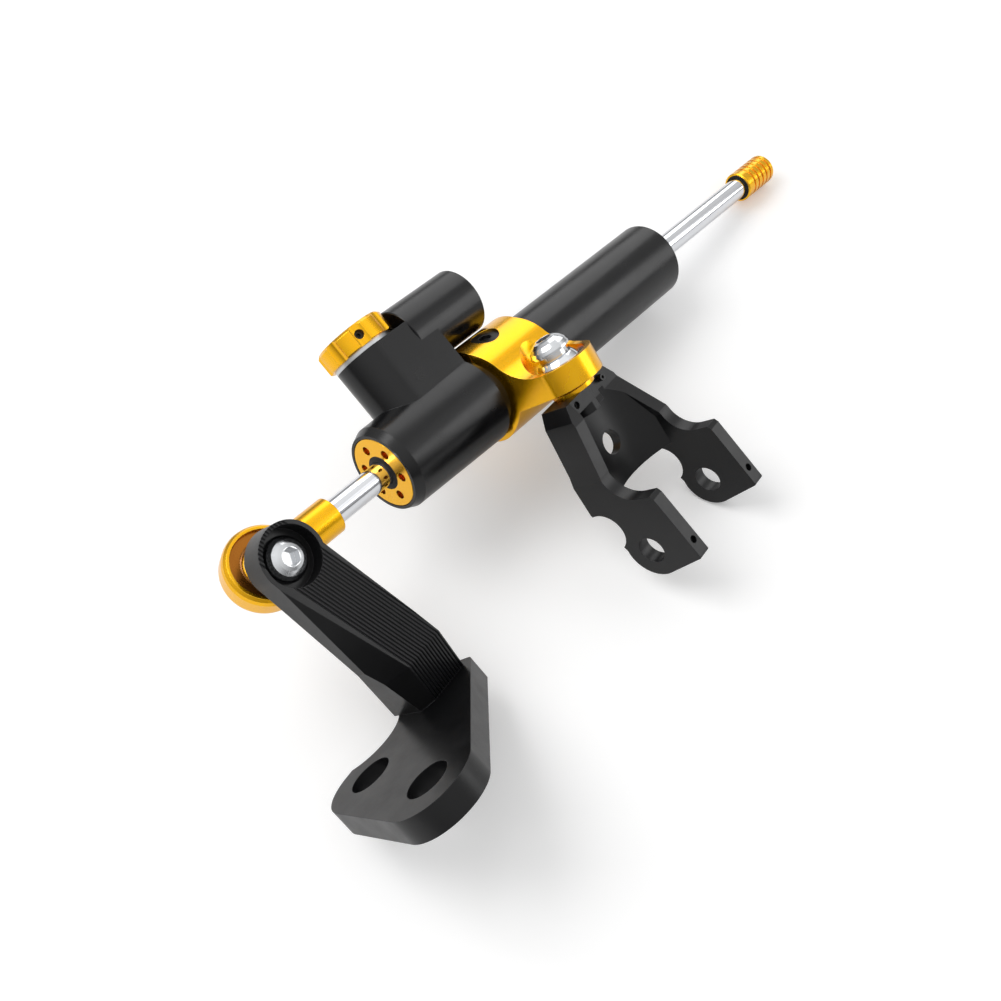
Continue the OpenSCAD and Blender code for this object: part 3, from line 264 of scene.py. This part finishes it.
# %% Gold anodised, turned
gold_parts = {
    "front_gland": rod_axis, "end_cap": rod_axis, "adjuster_knob": knob_axis,
    "rod_end": eye_axis, "clamp": boss_axis, "clamp_spacer": fork_bolt_axis,
}
for part, axis in gold_parts.items():
    gold = finish("anodised_aluminium_gold_" + part, ("#FFB400", "#FFC40C"), edge_highlight_and_wear="#FFDC70",
                  metallic=1.0, gloss=(0.22, 0.29), bump=0.005 * mm, coat=0.4,
                  height=lambda t: lathe_marks(t, axis, 0.5 * mm))
    dress(gold, part)

# %% [markdown]
# The rod is ground round and hard chromed: the brightest and smoothest metal
# here, with only faint grinding rings. Both balls are hard chromed too.

# %% Hard chrome
chrome_parts = {"piston_rod": rod_axis, "rod_end_ball": arm_bolt_axis, "clamp_ball": fork_bolt_axis}
for part, axis in chrome_parts.items():
    chrome = finish("hard_chrome_ground_" + part, ("#E2E4E8", "#F0F1F4"), edge_highlight_and_wear="#F4F5F6",
                    metallic=1.0, gloss=(0.07, 0.13), bump=0.0015 * mm,
                    height=lambda t: lathe_marks(t, axis, 0.4 * mm))
    dress(chrome, part)

# %% [markdown]
# Button heads, nut, washer, clips and the clamp's race are plated steel, with
# marks round their own axis. They are bright, but softer than chrome.

# %% Steel, turned and plated
steel_parts = {
    "arm_bolt": arm_bolt_axis, "arm_nut": arm_bolt_axis, "nut_washer": arm_bolt_axis,
    "clamp_bolt": fork_bolt_axis, "bolt_collar": fork_bolt_axis, "clamp_race": boss_axis,
    "snap_ring": rod_axis, "front_clip": rod_axis, "rear_clip": rod_axis,
}
for part, axis in steel_parts.items():
    steel = finish("steel_zinc_plated_" + part, ("#CFD1D4", "#DFE1E3"), edge_highlight_and_wear="#F0F1F2",
                   metallic=1.0, gloss=(0.16, 0.23), bump=0.005 * mm,
                   height=lambda t: lathe_marks(t, axis, 0.45 * mm))
    dress(steel, part)

# %% [markdown]
# The washer under the knob, the piston and the floating piston are bare
# turned aluminium, a little darker and duller than the plated steel.

# %% Bare aluminium, turned
bare_parts = {"knob_washer": knob_axis, "piston": rod_axis, "floating_piston": rod_axis}
for part, axis in bare_parts.items():
    bare = finish("aluminium_turned_" + part, ("#C2C4C6", "#D6D8DA"), edge_highlight_and_wear="#ECEDEE",
                  metallic=1.0, gloss=(0.26, 0.38), bump=0.007 * mm,
                  height=lambda t: lathe_marks(t, axis, 0.5 * mm))
    dress(bare, part)

# %% [markdown]
# Set screws and the collar under the arm are black oxide on steel: a touch
# greyer than the anodising, with edges painted lighter as a painted edge
# highlight together with brighter metal where edges rub.

# %% Black oxide steel
black_oxide = finish("steel_black_oxide", ("#0A0A0B", "#141415"), edge_highlight_and_wear="#5A5B5D",
                     metallic=0.0, gloss=(0.3, 0.42), bump=0.008 * mm,
                     height=lambda t: blast_grain(t, 0.4 * mm))
dress(black_oxide, "knob_screw", "lock_screw", "arm_washer", "ear_screw_near", "ear_screw_far",
      "bridge_screw_near", "bridge_screw_far")

# %% [markdown]
# The race in the eye and the rod bushes are bronze, browner and deeper than
# the gold round it. The valve's spindle has the same finish.

# %% Bronze, turned
bronze_parts = {"rod_end_race": eye_axis, "front_bush": rod_axis, "rear_bush": rod_axis,
                "valve_spindle": knob_axis}
for part, axis in bronze_parts.items():
    bronze = finish("bronze_turned_" + part, ("#9A5A1E", "#B9772F"), edge_highlight_and_wear="#D9A060",
                    metallic=1.0, gloss=(0.22, 0.34), bump=0.006 * mm,
                    height=lambda t: lathe_marks(t, axis, 0.4 * mm))
    dress(bronze, part)

# %% [markdown]
# Seals, wipers and the stop are moulded nitrile rubber: a dull soft black that
# scatters what little light it returns.

# %% Moulded rubber
rubber = finish("nitrile_rubber_moulded", ("#0E0E0E", "#191919"), edge_highlight_and_wear="#262626",
                metallic=0.0, gloss=(0.55, 0.7), bump=0.01 * mm, level=0.35,
                height=lambda t: blast_grain(t, 0.35 * mm))
dress(rubber, "front_gland_seal", "rear_gland_seal", "front_wiper", "rear_wiper", "bump_stop",
      "spindle_seal", "float_seal")

# %% [markdown]
# The piston ring is filled PTFE, a waxy green plastic cut on a lathe.

# %% Filled PTFE
ptfe = finish("ptfe_filled_turned", ("#24523A", "#2F6648"), edge_highlight_and_wear="#4A8464",
              metallic=0.0, gloss=(0.4, 0.5), bump=0.008 * mm,
              height=lambda t: lathe_marks(t, rod_axis, 0.5 * mm))
dress(ptfe, "piston_ring")
print("nodes without a finish:", sorted(set(frame["nodes"]) - set(dressed)))

# %% [markdown]
# The table is a white sheet. It keeps the soft shadow of the damper, and a
# little of its own light, seen by the camera only, brings it to white.

# %% Table
table_z = cad_low[2]
under_part = 0.05 * mm
sheet_side_m = 6.0
sheet_grain = 0.4 * mm
own_glow = 0.2
bpy.ops.object.select_all(action="DESELECT")
bpy.ops.mesh.primitive_plane_add(size=sheet_side_m, location=(0.0, 0.0, table_z - under_part))
table = bpy.context.active_object
table.name = "studio_table"
paper = bpy.data.materials.new("matt_white_paper")
paper.use_nodes = True
tree = paper.node_tree
tree.nodes.remove(tree.nodes["Principled BSDF"])
grain = add(tree, "ShaderNodeTexNoise", {"Scale": 1 / sheet_grain},
            {"Vector": add(tree, "ShaderNodeTexCoord").outputs["Object"]}).outputs[0]
pulp = add(tree, "ShaderNodeMix", {6: colour("#F4F4F4"), 7: colour("#F8F8F8")}, {0: grain},
           data_type="RGBA").outputs[2]
sheet = add(tree, "ShaderNodeBsdfDiffuse", links={"Color": pulp}).outputs[0]
sees = add(tree, "ShaderNodeLightPath")
lift = add(tree, "ShaderNodeMath", {1: own_glow}, {0: sees.outputs["Is Camera Ray"]},
           operation="MULTIPLY").outputs[0]
own_light = add(tree, "ShaderNodeEmission", links={"Strength": lift}).outputs[0]
both = add(tree, "ShaderNodeAddShader", links={0: sheet, 1: own_light}).outputs[0]
tree.links.new(both, tree.nodes["Material Output"].inputs["Surface"])
table.data.materials.append(paper)
print("table at", round(table_z, 4))

# %% [markdown]
# The room is a white cove: white to the camera, and to metal brightest
# overhead and greyer low down, as a cove with a ceiling of soft light is.
# About two thirds of that lights the damper, and lamps give the rest.

# %% Room
low_light = 0.2
full_light = 1.0
full_from = 0.9
room_share = 0.68
world = bpy.data.worlds.new("white_cove")
bpy.context.scene.world = world
world.use_nodes = True
tree = world.node_tree
sky = tree.nodes["Background"]
way = add(tree, "ShaderNodeTexCoord").outputs["Generated"]
height = add(tree, "ShaderNodeSeparateXYZ", links={0: way}).outputs["Z"]
cove = add(tree, "ShaderNodeMapRange",
           {"From Min": 0.0, "From Max": full_from, "To Min": low_light, "To Max": full_light},
           {"Value": height}).outputs[0]
rays = add(tree, "ShaderNodeLightPath").outputs
seen = add(tree, "ShaderNodeMath", links={0: rays["Is Camera Ray"], 1: rays["Is Transmission Ray"]},
           operation="MAXIMUM").outputs[0]
lit = add(tree, "ShaderNodeMix", {2: room_share}, {0: rays["Is Glossy Ray"], 3: cove}).outputs[0]
level = add(tree, "ShaderNodeMix", {3: full_light}, {0: seen, 2: lit}).outputs[0]
sky.inputs["Color"].default_value = colour("#FFFFFF")
tree.links.new(level, sky.inputs["Strength"])
print("room lights the damper at", room_share, "of full")

# %% [markdown]
# A large soft lamp hangs overhead, to the left as the camera sees it, and
# gives the shadows their side. A weaker one fills from the right.
# Two white reflectors, seen only by shiny surfaces, draw the broad grey
# highlights along the tube and on the arm.

# %% Lamps
middle = (Vector(cad_low) + Vector(cad_high)) / 2


def soft_lamp(name, way, distance, size, power, lights_all=True):
    lamp = bpy.data.lights.new(name, "AREA")
    lamp.shape = "SQUARE"
    lamp.size = size
    lamp.energy = power
    holder = bpy.data.objects.new(name, lamp)
    bpy.context.scene.collection.objects.link(holder)
    holder.location = middle + Vector(way).normalized() * distance
    holder.rotation_euler = (middle - holder.location).to_track_quat("-Z", "Y").to_euler()
    holder.visible_diffuse = lights_all
    print(name, power, "W")


soft_lamp("key_lamp", way=(-0.35, 0.45, 0.85), distance=0.9, size=0.55, power=3.2)
soft_lamp("fill_lamp", way=(0.7, -0.5, 0.6), distance=1.1, size=0.6, power=0.4)
soft_lamp("rear_reflector", way=(0.66, 0.52, 0.48), distance=0.8, size=0.6, power=1.5,
          lights_all=False)
soft_lamp("right_reflector", way=(0.71, -0.62, 0.32), distance=0.8, size=0.45, power=1.3,
          lights_all=False)
